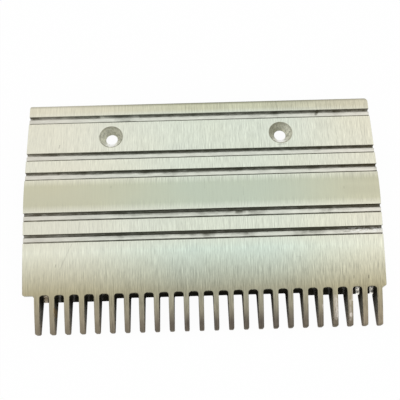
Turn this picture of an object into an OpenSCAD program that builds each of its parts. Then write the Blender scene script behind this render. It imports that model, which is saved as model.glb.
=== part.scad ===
// Comb plate of an escalator: one cast segment, brushed on top.
// The deck is level at the rear, bends down in a smooth band and ends in a row of
// tapering teeth. +Y points to the rear, -Y to the tips of the teeth, +Z up.
// The origin is under the middle of the segment, level with the underside of the ribs.

/* [Deck] */
// Width of the segment, across the run of the steps
plate_w = 207; // [205:0.5:230]
// Height of the level deck above the underside of the ribs
deck_h = 24.5; // [23:0.5:30]
// Thickness of the deck
deck_t = 5; // [4.6:0.2:7]
// Downward slope of the front deck, in degrees
front_slope = 12; // [8:0.5:14]
// Length of the front deck behind the curve down to the teeth
front_flat = 22.65; // [21:0.05:26]
// Radius of the curve that carries the deck down over the teeth
nose_r = 340; // [300:10:500]
// Radius of the rear left corner, seen from above
rear_left_r = 1; // [0.5:0.1:4]
// Radius of the rear right corner, seen from above
rear_right_r = 2; // [0.5:0.1:4]
// Radius of the two front corners, seen from above
front_corner_r = 1.1; // [0.5:0.1:2]
// Bevel along the upper rear edge
rear_bevel = 0.6; // [0.2:0.1:1.5]

/* [Grooves] */
// Distance from the rear edge to the first groove
groove_start = 7.35; // [5:0.05:9]
// Spacing of the groove lines, of which two are left plain
groove_pitch = 12.25; // [11.5:0.25:14]
// Width of the channel at the rear of each groove
channel_w = 1.85; // [1.6:0.05:3]
// Depth of that channel
channel_d = 2.2; // [1.5:0.1:2.5]
// Width of the shallow ledge in front of the channel
ledge_w = 2.4; // [1.5:0.1:2.8]
// Depth of the ledge
ledge_d = 0.8; // [0.4:0.1:1.2]
// Width of the fine slit in front of the ledge
slit_w = 0.8; // [0.4:0.1:1]
// Depth of the slit
slit_d = 1.3; // [1.2:0.1:1.4]
// Width of the flat land between a groove and the smooth bend
band_land = 1; // [0.5:0.1:2]

/* [Screw holes] */
// Distance from the left side to the first hole
screw_left = 50; // [30:0.5:60]
// Distance between the two holes
screw_spacing = 102; // [90:0.5:120]
// Diameter of the clearance hole, for an M6 screw
screw_d = 7; // [6.2:0.1:7.5]
// Diameter of the countersink at the deck
sink_d = 14; // [12:0.1:15]
// Angle between opposite walls of the countersink, in degrees
sink_angle = 90; // [90:1:100]

/* [Teeth] */
// Number of teeth, 8.467 mm or a third of an inch apart, as the grooves of the steps
tooth_count = 24; // [12:1:24]
// Bare width between the left side and the first tooth
left_margin = 6.65; // [5:0.05:8]
// Bare width between the last tooth and the right side
right_margin = 2.5; // [1.8:0.1:2.6]
// Length of the teeth, from the root line to the tips
tooth_l = 20.85; // [18:0.05:26]
// Distance from the front deck's curve to the root line
nose_l = 23.2; // [20:0.1:26]
// Width of a tooth at its root
tooth_root_w = 3.1; // [2.8:0.1:3.4]
// Width of a tooth at its tip
tooth_tip_w = 2.8; // [2.1:0.1:2.9]
// Depth of a tooth at its tip, seen from the side
tip_t = 4.2; // [1.8:0.1:5]
// Height of a tip's underside above the underside of the ribs
tip_rise = 0.3; // [0.1:0.1:1]
// Radius in the corners of the gaps between the teeth
gap_r = 1.45; // [0.8:0.05:1.6]
// Radius of a tip, seen from above
tip_r = 0.9; // [0.3:0.1:1]
// Radius of a tip's upper edge, seen from the side
tip_top_r = 1.1; // [0.8:0.1:1.2]
// Radius of a tip's lower edge, seen from the side
tip_low_r = 0.5; // [0.3:0.1:0.6]

/* [Underside] */
// Length of the locating shoulder in front of the seat
shoulder_l = 5; // [4:0.5:6]
// Distance from the shoulder to where the deck starts to bend
shoulder_gap = 1.15; // [0.5:0.05:2]
// Width of the relief groove in the corner between the seat and the shoulder
relief_w = 1.5; // [1:0.1:2]
// Depth of that groove
relief_d = 0.8; // [0.4:0.1:1]
// Height of the shoulder's foot above the underside of the ribs
shoulder_foot = 10.5; // [9:0.5:13]
// Length of the cross beam behind the root line
beam_l = 7; // [5:0.5:9]
// Gaps at each end of the row that have a long web at the bottom of their root
web_gaps = 5; // [0:1:5]
// Reach of such a web, from the root line towards the tips
web_l = 2; // [1.6:0.1:3]
// Reach of the short webs in the other gaps
inner_web_l = 0.5; // [0.3:0.1:1]
// Height of the webs
web_h = 4; // [2:0.5:6]
// Thickness of the lip in front of the undercut that ends the cross beam on the left
lip_t = 2.5; // [2:0.1:4]
// Number of stiffening ribs
rib_count = 8; // [2:1:8]
// Thickness of a rib
rib_t = 3; // [2:0.1:4]
// Length of the sloping heel of a rib
rib_heel = 6; // [4:0.5:8]

/* [Hidden] */
// Three grooves lie in the level deck and two in the front deck
level_groove_count = 3;
groove_count = 5;
groove_w = channel_w + ledge_w + slit_w;
// Stations, measured from the rear edge towards the teeth
third_end = groove_s(2) + groove_w;
fourth_start = groove_s(3);
bend_start = third_end + band_land;
bend_end = fourth_start - band_land;
nose_start = fourth_start + front_flat;
root_s = nose_start + nose_l;
tip_s = root_s + tooth_l;
beam_s = root_s - beam_l;
shoulder_end = bend_start - shoulder_gap;
shoulder_start = shoulder_end - shoulder_l;
// The holes lie midway between the first two grooves
screw_s = (groove_s(0) + groove_w + groove_s(1)) / 2;
screw_x = screw_left - plate_w / 2;
sink_depth = (sink_d - screw_d) / 2 / tan(sink_angle / 2);
// The bend fills the plain band between the third and the fourth groove
bend_r = (bend_end - bend_start) / sin(front_slope);
bend_drop = bend_r * (1 - cos(front_slope));
flat_drop = (nose_start - bend_end) * tan(front_slope);
// The teeth fill the width between the two margins
first_tooth_x = left_margin + tooth_root_w / 2 - plate_w / 2;
last_tooth_x = plate_w / 2 - right_margin - tooth_root_w / 2;
tooth_pitch = (last_tooth_x - first_tooth_x) / (tooth_count - 1);
seat_z = deck_h - deck_t;
arc_steps = 10;
edge_steps = 6;
over = 1;
DECK = [0.80, 0.80, 0.74];
BAND = [0.72, 0.74, 0.66];
TOOTH = [0.56, 0.54, 0.46];
CAST = [0.62, 0.63, 0.60];

TEETH = [for (i = [1:tooth_count]) str("tooth_", i < 10 ? "0" : "", i)];
RIBS = [for (i = [1:rib_count]) str("rib_0", i)];

function y_at(s) = tip_s / 2 - s;
// Groove lines, counted from the rear one, that carry a groove
function groove_line(k) = [0, 2, 3, 5, 6][k];
function groove_s(k) = groove_start + groove_line(k) * groove_pitch;
function tooth_x(i) = first_tooth_x + (i - 1) * tooth_pitch;
// Every rib is in line with a tooth, spread evenly over the row
function rib_x(i) = tooth_x(round((i - 0.5) * tooth_count / rib_count + 0.5));
// The nose is an arc tangent to the front deck
nose_y0 = nose_r * sin(front_slope);
function nose_drop(s) =
    let (run = nose_y0 + s - nose_start)
    nose_r * cos(front_slope) - sqrt(nose_r * nose_r - run * run);
function bend_fall(s) = bend_r - sqrt(bend_r * bend_r - (s - bend_start) * (s - bend_start));
// Height of the deck's upper face at a station
function top_z(s) =
    s <= bend_start ? deck_h
    : s <= bend_end ? deck_h - bend_fall(s)
    : s <= nose_start ? deck_h - bend_drop - (s - bend_end) * tan(front_slope)
    : deck_h - bend_drop - flat_drop - nose_drop(s);
// Slope of the deck at the root line, and the fall from there to the top of a tip
root_slope = tan(asin((nose_y0 + root_s - nose_start) / nose_r));
tooth_fall = top_z(root_s) - tip_rise - tip_t;
tooth_curve = (tooth_fall - tooth_l * root_slope) / pow(tooth_l, 2);
// Height of a tooth's upper face, which steepens from the deck's slope towards the tip
function tooth_z(s) =
    let (run = s - root_s) top_z(root_s) - root_slope * run - tooth_curve * run * run;

// Extrudes a side view, drawn as [y, z], over a width from x0
module across(x0, w) {
    translate([x0, 0, 0]) rotate([90, 0, 90]) linear_extrude(w) children();
}

// Side view of the deck between two stations, in even steps
module deck_side(s0, s1, steps) {
    stations = [for (i = [0:steps]) s0 + (s1 - s0) * i / steps];
    upper = [for (s = stations) [y_at(s), top_z(s)]];
    lower = [for (i = [steps:-1:0]) [y_at(stations[i]), top_z(stations[i]) - deck_t]];
    polygon(concat(upper, lower));
}

// Side view of one groove, drawn from its rear edge towards the teeth
module groove_side(k) {
    tilt = k < level_groove_count ? 0 : front_slope;
    step = channel_w + ledge_w;
    translate([y_at(groove_s(k)), top_z(groove_s(k))]) rotate(tilt) mirror([1, 0]) polygon([
        [0, over], [0, -channel_d], [channel_w * 0.8, -channel_d], [channel_w, -ledge_d],
        [step, -ledge_d], [step + slit_w * 0.3, -slit_d], [step + slit_w * 0.7, -slit_d],
        [groove_w, 0], [groove_w, over]
    ]);
}

// Rounds an upright corner of the deck that points along [sx, sy]
module corner_cut(x, y, sx, sy, r) {
    translate([x, y, -over]) linear_extrude(deck_h + 2 * over) difference() {
        translate([sx > 0 ? -r : -over, sy > 0 ? -r : -over]) square(r + over);
        translate([-sx * r, -sy * r]) circle(r, $fn = 48);
    }
}

module mounting_deck() {
    left = -plate_w / 2;
    rear = y_at(0);
    relief_z = seat_z + relief_d;
    color(DECK) difference() {
        across(left, plate_w) difference() {
            polygon([
                [rear - rear_bevel, deck_h], [rear, deck_h - rear_bevel], [rear, seat_z],
                [y_at(shoulder_start - relief_w), seat_z], [y_at(shoulder_start - relief_w), relief_z],
                [y_at(shoulder_start), relief_z], [y_at(shoulder_start), seat_z],
                [y_at(bend_start), seat_z], [y_at(bend_start), deck_h]
            ]);
            for (k = [0:level_groove_count - 1]) groove_side(k);
        }
        corner_cut(left, rear, -1, 1, rear_left_r);
        corner_cut(-left, rear, 1, 1, rear_right_r);
        for (x = [screw_x, screw_x + screw_spacing]) translate([x, y_at(screw_s), 0]) screw_hole();
    }
}

// Countersunk clearance hole, on its own axis
module screw_hole() {
    flare = over * tan(sink_angle / 2);
    translate([0, 0, seat_z - over]) cylinder(deck_t + 2 * over, d = screw_d, $fn = 64);
    translate([0, 0, deck_h - sink_depth])
        cylinder(sink_depth + over, d1 = screw_d, d2 = sink_d + 2 * flare, $fn = 64);
}

module bend_band() {
    color(BAND) across(-plate_w / 2, plate_w) deck_side(bend_start, bend_end, arc_steps);
}

module front_deck() {
    color(DECK) across(-plate_w / 2, plate_w) difference() {
        union() {
            deck_side(bend_end, nose_start, 1);
            deck_side(nose_start, beam_s, edge_steps);
        }
        for (k = [level_groove_count:groove_count - 1]) groove_side(k);
    }
}

// Full-depth beam that closes the front deck and carries the teeth, with a low web in
// each gap. Only a lip of the deck reaches over the bare margin on the left.
module root_beam() {
    stations = [for (i = [0:edge_steps]) beam_s + beam_l * i / edge_steps];
    top = [for (s = stations) [y_at(s), top_z(s)]];
    undercut_w = left_margin - gap_r;
    color(DECK) difference() {
        union() {
            across(-plate_w / 2, plate_w) polygon(concat(top, [[y_at(root_s), 0], [y_at(beam_s), 0]]));
            for (gap = [1:tooth_count - 1]) web(gap);
        }
        across(-plate_w / 2 - over, undercut_w + over)
            translate([y_at(root_s) - over, -over]) square([beam_l + 2 * over, top_z(root_s) - lip_t + over]);
        corner_cut(-plate_w / 2, y_at(root_s), -1, -1, front_corner_r);
        corner_cut(plate_w / 2, y_at(root_s), 1, -1, front_corner_r);
    }
}

// Web that fills the bottom of a gap between two teeth, next to the root line
module web(gap) {
    reach = min(gap, tooth_count - gap) <= web_gaps ? web_l : inner_web_l;
    translate([0, y_at(root_s), 0]) linear_extrude(web_h) difference() {
        translate([tooth_x(gap), -reach]) square([tooth_pitch, reach + over]);
        for (i = [gap, gap + 1]) translate([tooth_x(i), 0]) polygon(tooth_plan());
    }
}

// Step that locates against the front edge of the carrier
module locating_shoulder() {
    color(CAST) across(-plate_w / 2, plate_w)
        translate([y_at(shoulder_end), shoulder_foot]) square([shoulder_l, seat_z - shoulder_foot]);
}

// Upright rib between the shoulder and the cross beam
module rib(i) {
    band = [for (k = [0:arc_steps]) bend_start + (bend_end - bend_start) * k / arc_steps];
    nose = [for (k = [0:edge_steps]) nose_start + (beam_s - nose_start) * k / edge_steps];
    top = [for (s = concat([shoulder_end], band, nose)) [y_at(s), top_z(s) - deck_t]];
    foot = [
        [y_at(beam_s), 0], [y_at(shoulder_end + rib_heel), 0], [y_at(shoulder_end), shoulder_foot]
    ];
    color(CAST) across(rib_x(i) - rib_t / 2, rib_t) polygon(concat(top, foot));
}

// One half of a tooth seen from above, with x from its middle and y from the root line
function tooth_half() =
    let (flare = tooth_root_w / 2 + gap_r)
    let (fillet = [for (k = [0:edge_steps])
        let (a = 90 * k / edge_steps) [flare - gap_r * sin(a), -gap_r * (1 - cos(a))]])
    let (tip = [for (k = [0:edge_steps])
        let (a = 90 * k / edge_steps)
        [tooth_tip_w / 2 - tip_r * (1 - cos(a)), -tooth_l + tip_r * (1 - sin(a))]])
    concat(fillet, tip);

// Outline of a tooth seen from above
function tooth_plan() =
    let (half = tooth_half())
    concat(half, [for (k = [len(half) - 1:-1:0]) [-half[k].x, half[k].y]]);

// Side view of a tooth: its underside rises towards the tip, whose edges are rounded
module tooth_side() {
    lean = atan(root_slope + 2 * tooth_curve * tooth_l);
    edge_s = tip_s - tip_top_r * (1 - sin(lean));
    stations = [for (k = [0:arc_steps - 1]) root_s + (edge_s - root_s) * k / arc_steps];
    upper_arc = [for (k = [0:edge_steps])
        let (a = lean + (90 - lean) * k / edge_steps)
        [y_at(tip_s) + tip_top_r * (1 - sin(a)), tooth_z(edge_s) + tip_top_r * (cos(a) - cos(lean))]];
    lower_arc = [for (k = [0:edge_steps])
        let (a = 90 * k / edge_steps)
        [y_at(tip_s) + tip_low_r * (1 - cos(a)), tip_rise + tip_low_r * (1 - sin(a))]];
    polygon(concat(
        [[y_at(root_s), 0]], [for (s = stations) [y_at(s), tooth_z(s)]], upper_arc, lower_arc
    ));
}

module tooth(i) {
    color(TOOTH) intersection() {
        across(tooth_x(i) - tooth_pitch / 2, tooth_pitch) tooth_side();
        translate([tooth_x(i), y_at(root_s), -over]) linear_extrude(deck_h + 2 * over) polygon(tooth_plan());
    }
}

mounting_deck();
bend_band();
front_deck();
root_beam();
locating_shoulder();
for (i = [1:rib_count]) rib(i);
for (i = [1:tooth_count]) tooth(i);
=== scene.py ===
"""Comb plate of an escalator: one brushed aluminium casting, seen from above its teeth."""

import math
from collections import namedtuple

import bmesh
import bpy
from mathutils import Euler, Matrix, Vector
from mathutils.geometry import tessellate_polygon


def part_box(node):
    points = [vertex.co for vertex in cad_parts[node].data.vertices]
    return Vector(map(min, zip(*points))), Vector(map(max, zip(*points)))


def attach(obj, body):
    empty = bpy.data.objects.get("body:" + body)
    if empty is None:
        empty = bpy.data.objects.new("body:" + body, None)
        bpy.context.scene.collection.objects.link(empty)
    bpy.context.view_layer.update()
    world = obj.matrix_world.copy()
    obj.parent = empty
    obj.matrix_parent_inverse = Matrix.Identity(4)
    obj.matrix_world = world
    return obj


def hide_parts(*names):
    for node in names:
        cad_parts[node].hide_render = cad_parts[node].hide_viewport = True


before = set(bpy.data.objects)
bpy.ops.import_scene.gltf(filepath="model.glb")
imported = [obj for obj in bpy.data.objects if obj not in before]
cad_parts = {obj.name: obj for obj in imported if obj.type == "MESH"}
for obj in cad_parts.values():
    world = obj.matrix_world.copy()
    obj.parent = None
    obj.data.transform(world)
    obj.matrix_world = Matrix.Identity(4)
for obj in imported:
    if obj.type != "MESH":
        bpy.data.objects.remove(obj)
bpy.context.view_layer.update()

# Lengths are in millimetres, but those of the floor, the lamps and the clipping are in metres
MM = 0.001


def node_box(node):
    """Lowest and highest corner of a CAD node, in millimetres."""
    return [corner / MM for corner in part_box(node)]


# Counts and sizes of the solids. A station is a distance from the rear edge, counted towards the tips
TOOTH_COUNT, RIB_COUNT = 24, 8
DECK_LOW, DECK_HIGH = node_box("mounting_deck")
BAND_LOW, BAND_HIGH = node_box("bend_band")
BEAM_LOW, BEAM_HIGH = node_box("root_beam")
TOOTH_LOW, TOOTH_HIGH = node_box("tooth_01")
SHOULDER_LOW, SHOULDER_HIGH = node_box("locating_shoulder")
LEFT, RIGHT = BEAM_LOW.x, BEAM_HIGH.x
REAR_Y, BEAM_Y, ROOT_Y, TIP_Y = DECK_HIGH.y, BEAM_HIGH.y, TOOTH_HIGH.y, TOOTH_LOW.y
BEND_START, BEND_END = REAR_Y - BAND_HIGH.y, REAR_Y - BAND_LOW.y
BEAM_S, ROOT_S, TIP_S = REAR_Y - BEAM_Y, REAR_Y - ROOT_Y, REAR_Y - TIP_Y
SEAT_Z, DECK_H = DECK_LOW.z, DECK_HIGH.z
DECK_T = DECK_H - SEAT_Z

# Upper face: the slope of the front deck, its flat run and the curve over the teeth's roots
SLOPE = math.radians(12)
FRONT_FLAT, NOSE_R = 23.65, 340
NOSE_START = BEND_END + FRONT_FLAT

# Corners in plan view, and the bevel along the rear edge
CORNER_LEFT, CORNER_RIGHT, FRONT_CORNER = 1, 2, 1.1
REAR_BEVEL = 0.6

# Grooves, each with a channel, a ledge in front of it and a slit
GROOVE_STATIONS = (7.35, 31.85, 44.1, 68.6, 80.85)
DECK_GROOVES, FRONT_GROOVES = (0, 1, 2), (3, 4)
CHANNEL_W, CHANNEL_D = 1.85, 2.2
LEDGE_W, LEDGE_D = 2.4, 0.8
SLIT_W, SLIT_D = 0.8, 1.3

# Holes: bore and countersink, the soft rim outside it, the cone as shares of its depth,
# the depth below the cone where the bore starts, and the bevel at its foot
HOLE_X, HOLE_STATION = (-53.5, 48.5), 22.125
BORE_R, SINK_R = 3.5, 7
RIM_OUTER, RIM_INNER, RIM_DROP = 0.16, 0.02, 0.05
CONE_START, CONE_END = 0.04, 0.97
BORE_START, BORE_BEVEL = 0.1, 0.3

# Teeth, and the webs between them: the outer gaps at each end have longer webs
TOOTH_ROOT_W, TOOTH_TIP_W = 3.1, 2.8
GAP_R, TIP_R, TIP_TOP_R, TIP_LOW_R = 1.45, 0.9, 1.1, 0.5
TIP_T, TIP_RISE = 4.2, 0.3
OUTER_GAPS, OUTER_WEB_L, INNER_WEB_L = 5, 2, 0.5
WEB_H, WEB_SUNK, WEB_ROUNDING = 4, 0.2, 0.6

# Beam over the bare margin on the left, ribs, shoulder and the relief groove behind it
MARGIN_T = 2.5
RIB_T, RIB_HEEL = 3, 6
SHOULDER_R, RELIEF_W, RELIEF_D = 0.8, 1.5, 0.8

# Roundings that the solids leave out: of long edges, of lips and feet, and of ribs at the deck.
# The middle point of a small one lies at this share of its radius from both faces
EDGE_R, LIP_R, FLARE_R = 0.3, 0.12, 1
ROUND_MIDDLE = 0.3

# Numbers of steps that curves and long faces are cut into
EDGE_STEPS, ROUNDING_STEPS = 3, 4
CORNER_STEPS, FRONT_CORNER_STEPS = 8, 6
ARC_STEPS, BEAM_STEPS = 24, 6
FILLET_STEPS, FLANK_STEPS, TIP_STEPS = 10, 12, 8
RIB_REAR_STEPS, RIB_FRONT_STEPS = 12, 16
CONE_STEPS, HOLE_SEGMENTS = 6, 96

# Faces that meet at more than this angle keep a sharp edge
SHARP_ANGLE = math.radians(40)


def steps(start, end, count):
    """Even values from start to end, both among them."""
    return [start + (end - start) * k / count for k in range(count + 1)]


def quarter_turn(count):
    """Even angles from nought to a right angle."""
    return steps(0, math.pi / 2, count)


def quarter_round(radius, count=ROUNDING_STEPS):
    """Points of a rounding, as their distances from the two faces that it joins."""
    turns = quarter_turn(count)
    return [(radius * (1 - math.cos(turn)), radius * (1 - math.sin(turn))) for turn in turns]


def between(start, end, share):
    """Value at a share of the way from start to end."""
    return start + (end - start) * share


# Side view of the casting

def at(station):
    """Place along Y of a station."""
    return REAR_Y - station


def top_z(station):
    """Height of the upper face: level, bent down, sloping, and curved over the nose."""
    if station <= BEND_START:
        return DECK_H
    bend_r = (BEND_END - BEND_START) / math.sin(SLOPE)
    if station <= BEND_END:
        return DECK_H - bend_r + math.sqrt(bend_r ** 2 - (station - BEND_START) ** 2)
    slope_z = DECK_H - bend_r * (1 - math.cos(SLOPE))
    if station <= NOSE_START:
        return slope_z - (station - BEND_END) * math.tan(SLOPE)
    nose_z = slope_z - FRONT_FLAT * math.tan(SLOPE)
    run = NOSE_R * math.sin(SLOPE) + station - NOSE_START
    return nose_z - NOSE_R * math.cos(SLOPE) + math.sqrt(NOSE_R ** 2 - run ** 2)


def root_slope():
    """Slope of the upper face at the root line."""
    return math.tan(math.asin((NOSE_R * math.sin(SLOPE) + ROOT_S - NOSE_START) / NOSE_R))


def tooth_curve():
    """How fast a tooth's upper face steepens, so that it ends at the height of the tip."""
    length = TIP_S - ROOT_S
    return (top_z(ROOT_S) - TIP_RISE - TIP_T - length * root_slope()) / length ** 2


def tooth_top_z(station):
    """Height of a tooth's upper face, with the rounding of its tip."""
    if station <= ROOT_S:
        return top_z(station)
    lean = math.atan(root_slope() + 2 * tooth_curve() * (TIP_S - ROOT_S))
    edge = TIP_S - TIP_TOP_R * (1 - math.sin(lean))
    run = min(station, edge) - ROOT_S
    z = top_z(ROOT_S) - root_slope() * run - tooth_curve() * run ** 2
    if station <= edge:
        return z
    turn = math.asin(min(1, 1 - (TIP_S - station) / TIP_TOP_R))
    return z + TIP_TOP_R * (math.cos(turn) - math.cos(lean))


def tooth_low_z(station):
    """Height of a tooth's underside, which rises towards the tip."""
    edge = TIP_S - TIP_LOW_R
    if station <= ROOT_S:
        return 0
    if station <= edge:
        return TIP_RISE * (station - ROOT_S) / (edge - ROOT_S)
    return TIP_RISE + TIP_LOW_R - math.sqrt(TIP_LOW_R ** 2 - (station - edge) ** 2)


# One piece's mesh

def new_object(name, data):
    made = bpy.data.objects.new(name, data)
    bpy.context.scene.collection.objects.link(made)
    return made


def turn_faces_outwards(mesh):
    work = bmesh.new()
    work.from_mesh(mesh)
    bmesh.ops.recalc_face_normals(work, faces=work.faces)
    work.to_mesh(mesh)
    work.free()


class Shape:
    """Points and faces of one piece, with painted shade and soiling, bare metal and painted glint, 0 to
    1.
    """

    def __init__(self):
        self.points, self.grime, self.milled = [], [], []
        self.faces, self.looks = [], []

    def point(self, x, y, z, grime=0.0, milled=0.0):
        self.points.append((x * MM, y * MM, z * MM))
        self.grime.append(grime)
        self.milled.append(milled)
        return len(self.points) - 1

    def face(self, corners, look):
        self.faces.append(corners)
        self.looks.append(look)

    def join(self, row_a, row_b, looks):
        """Joins two rows of points with one four-sided face for each look."""
        for k, look in enumerate(looks):
            self.face([row_a[k], row_a[k + 1], row_b[k + 1], row_b[k]], look)

    def join_rings(self, rings, look):
        """Joins closed rings of points, each to the next."""
        for ring_a, ring_b in zip(rings, rings[1:]):
            self.join(ring_a + ring_a[:1], ring_b + ring_b[:1], [look] * len(ring_a))

    def bar(self, rings, look):
        """Joins closed rings of points, and closes the first and the last."""
        self.join_rings(rings, look)
        self.face(rings[0], look)
        self.face(rings[-1], look)

    def mesh(self, name):
        """Mesh with its materials, painted values and sharp edges."""
        mesh = bpy.data.meshes.new(name)
        mesh.from_pydata(self.points, [], self.faces)
        used = sorted(set(self.looks))
        for look in used:
            mesh.materials.append(MATERIALS[look])
        mesh.polygons.foreach_set("material_index", [used.index(look) for look in self.looks])
        for paint, values in (("grime", self.grime), ("milled", self.milled)):
            mesh.attributes.new(paint, "FLOAT", "POINT").data.foreach_set("value", values)
        turn_faces_outwards(mesh)
        mesh.polygons.foreach_set("use_smooth", [True] * len(mesh.polygons))
        mesh.set_sharp_from_angle(angle=SHARP_ANGLE)
        return mesh

    def build(self, node):
        """Makes the piece that stands for a CAD node."""
        name = node + "_cast"
        piece = new_object(name, self.mesh(name))
        piece.modifiers.new("flat_faces_stay_flat", "WEIGHTED_NORMAL").keep_sharp = True
        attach(piece, "root")
        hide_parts(node)


def round_off(inset, radius):
    """How far a rounded edge has fallen away at a distance in from it."""
    if inset >= radius:
        return 0
    return radius - math.sqrt(radius ** 2 - (radius - inset) ** 2)


# Decks: a side outline that runs across the plate

# Corner of the outline. Its look is that of the face which starts there. An upper corner falls away
# at the rounded side edges, and a rear one at the rounded corners of the plan view
Corner = namedtuple("Corner", "y z look grime milled upper rear", defaults=(0, 0, False, False))


def surface(station, look="top"):
    """A corner of the outline on the upper face."""
    return Corner(at(station), top_z(station), look, upper=True)


def under(station):
    """A corner of the outline on the underside of the deck."""
    return Corner(at(station), top_z(station) - DECK_T, "cast", grime=0.3)


def rear_bevel():
    """Corners of the rounded bevel along the rear edge, from the rear face up to the deck."""
    cuts = (0, 0.12, REAR_BEVEL - 0.15, REAR_BEVEL + 0.1)
    # The bevel is painted darker towards the rear face
    shade_and_dirt = (0.25, 0.2, 0.1, 0)
    return [
        Corner(REAR_Y - inset, DECK_H - drop, "top", grime, upper=True, rear=True)
        for inset, drop, grime in zip(cuts, cuts[::-1], shade_and_dirt)
    ]


# Painted shade and soiling on the rear wall and on the floor of each groove's channel, from 0 to 1
GROOVE_SHADE_AND_DIRT = ((0.75, 0.35), (0.88, 0.5), (0.88, 0.5), (1, 0.85), (1, 0.9))


def groove_section(wall, floor):
    """Section of a groove from rear to front, with painted shade and soiling on its channel's wall and
    floor.

    Each point is the distance from the groove's rear edge, the height over the deck, the painted
    shade and soiling, and how much bare machined metal shows.
    """
    ledge_end = CHANNEL_W + LEDGE_W
    width = ledge_end + SLIT_W
    middle = LIP_R * ROUND_MIDDLE
    rear_lip = [(-LIP_R, 0, 0, 0), (-middle, -middle, 0.35, 0.5), (0, -LIP_R, wall * 0.7, 1)]
    channel = [
        (0, -CHANNEL_D * 0.35, wall, 1),
        (0, -CHANNEL_D + 0.3, wall, 1),
        (0.1, -CHANNEL_D + 0.1, wall, 1),
        (0.3, -CHANNEL_D, wall, 1),
        (CHANNEL_W * 0.35, -CHANNEL_D, wall * 0.85, 1),
        (CHANNEL_W * 0.8, -CHANNEL_D, floor, 1),
        (CHANNEL_W * 0.95, -LEDGE_D - 0.3, floor * 0.9, 1),
    ]
    ledge = [
        (CHANNEL_W + 0.05, -LEDGE_D, 0.42, 1),
        (CHANNEL_W + 0.9, -LEDGE_D, 0.16, 1),
        (ledge_end - 0.35, -LEDGE_D, 0.05, 1),
        (ledge_end - 0.08, -LEDGE_D, 0.35, 1),
    ]
    slit = [
        (ledge_end + SLIT_W * 0.3, -SLIT_D, 0.8, 1),
        (ledge_end + SLIT_W * 0.7, -SLIT_D, 0.8, 1),
        (width - 0.06, -LIP_R * 2, 0.4, 1),
    ]
    front_lip = [(width, -LIP_R, 0.1, 0.4), (width + middle, -middle, 0, 0), (width + LIP_R, 0, 0, 0)]
    return rear_lip + channel + ledge + slit + front_lip


def groove(index):
    """Corners of one groove, square to the deck that it is cut into."""
    station = GROOVE_STATIONS[index]
    tilt = SLOPE if index in FRONT_GROOVES else 0
    corners = []
    for along, up, grime, milled in groove_section(*GROOVE_SHADE_AND_DIRT[index]):
        y = at(station) - along * math.cos(tilt) - up * math.sin(tilt)
        z = top_z(station) - along * math.sin(tilt) + up * math.cos(tilt)
        corners.append(Corner(y, z, "top", grime, milled, upper=True))
    return corners


def side_columns(shape, outline, x0, inward, corner_r):
    """Copies of the outline near one side, from the side inwards, each as a closed row of points."""
    roundings = quarter_round(EDGE_R, EDGE_STEPS) + quarter_round(corner_r, CORNER_STEPS)
    columns = []
    for inset in sorted({inset for inset, drop in roundings}):
        row = []
        for corner in outline:
            y = corner.y - (round_off(inset, corner_r) if corner.rear else 0)
            z = corner.z - (round_off(inset, EDGE_R) if corner.upper else 0)
            row.append(shape.point(x0 + inward * inset, y, z, corner.grime, corner.milled))
        columns.append(row + row[:1])
    return columns


def run_across(shape, outline, corner_radii=(0, 0), holes=()):
    """Runs a closed side outline from the left side to the right, with rounded upper side edges."""
    left = side_columns(shape, outline, LEFT, 1, corner_radii[0])
    right = side_columns(shape, outline, RIGHT, -1, corner_radii[1])
    columns = left + right[::-1]
    looks = [corner.look for corner in outline]
    for k in range(len(columns) - 1):
        if k == len(left) - 1 and holes:
            drill(shape, columns[k], columns[k + 1], outline, holes)
        else:
            shape.join(columns[k], columns[k + 1], looks)
    shape.face(columns[0][:-1], "side")
    shape.face(columns[-1][:-1], "side")


def drill(shape, left, right, outline, holes):
    """Fills the wide middle of the level deck, with holes through the land that carries them."""
    hole_y = at(HOLE_STATION)
    rings = [hole_rings(shape, x, hole_y, stain_and_shade) for x, stain_and_shade in zip(holes, SINK_SHADES)]
    for k, corner in enumerate(outline):
        after = outline[(k + 1) % len(outline)]
        quad = [left[k], left[k + 1], right[k + 1], right[k]]
        level = abs(corner.z - after.z) < 1e-6
        if not (level and min(corner.y, after.y) < hole_y < max(corner.y, after.y)):
            shape.face(quad, corner.look)
            continue
        loops = [quad] + [ring[0] if corner.upper else ring[-1] for ring in rings]
        corners = [index for loop in loops for index in loop]
        places = [[Vector(shape.points[index]) for index in loop] for loop in loops]
        for triangle in tessellate_polygon(places):
            shape.face([corners[index] for index in triangle], corner.look)


# Painted shade on one side of each countersink, with the side in degrees from +X
SinkShade = namedtuple("SinkShade", "side strength")
SINK_SHADES = (SinkShade(95, 0.75), SinkShade(125, 0.95))
# Glint at the front of each countersink. It sets in over this distance, and starts half of it inside
GLINT_RAMP = 0.9
# A higher power makes the painted shade or the glint narrower
SHADE_POWER, GLINT_POWER = 1.5, 4


def sink_shade(stain_and_shade, turn):
    """How much painted shade a countersink has at an angle round it."""
    nearness = 0.5 + 0.5 * math.cos(turn - math.radians(stain_and_shade.side))
    return stain_and_shade.strength * nearness ** SHADE_POWER


def sink_glint(radius, turn):
    """How bright a countersink is at its front, from a little inside its rim."""
    inside = min(1, max(0, (SINK_R - radius) / GLINT_RAMP - 0.5))
    return max(0, -math.sin(turn)) ** GLINT_POWER * inside


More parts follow.
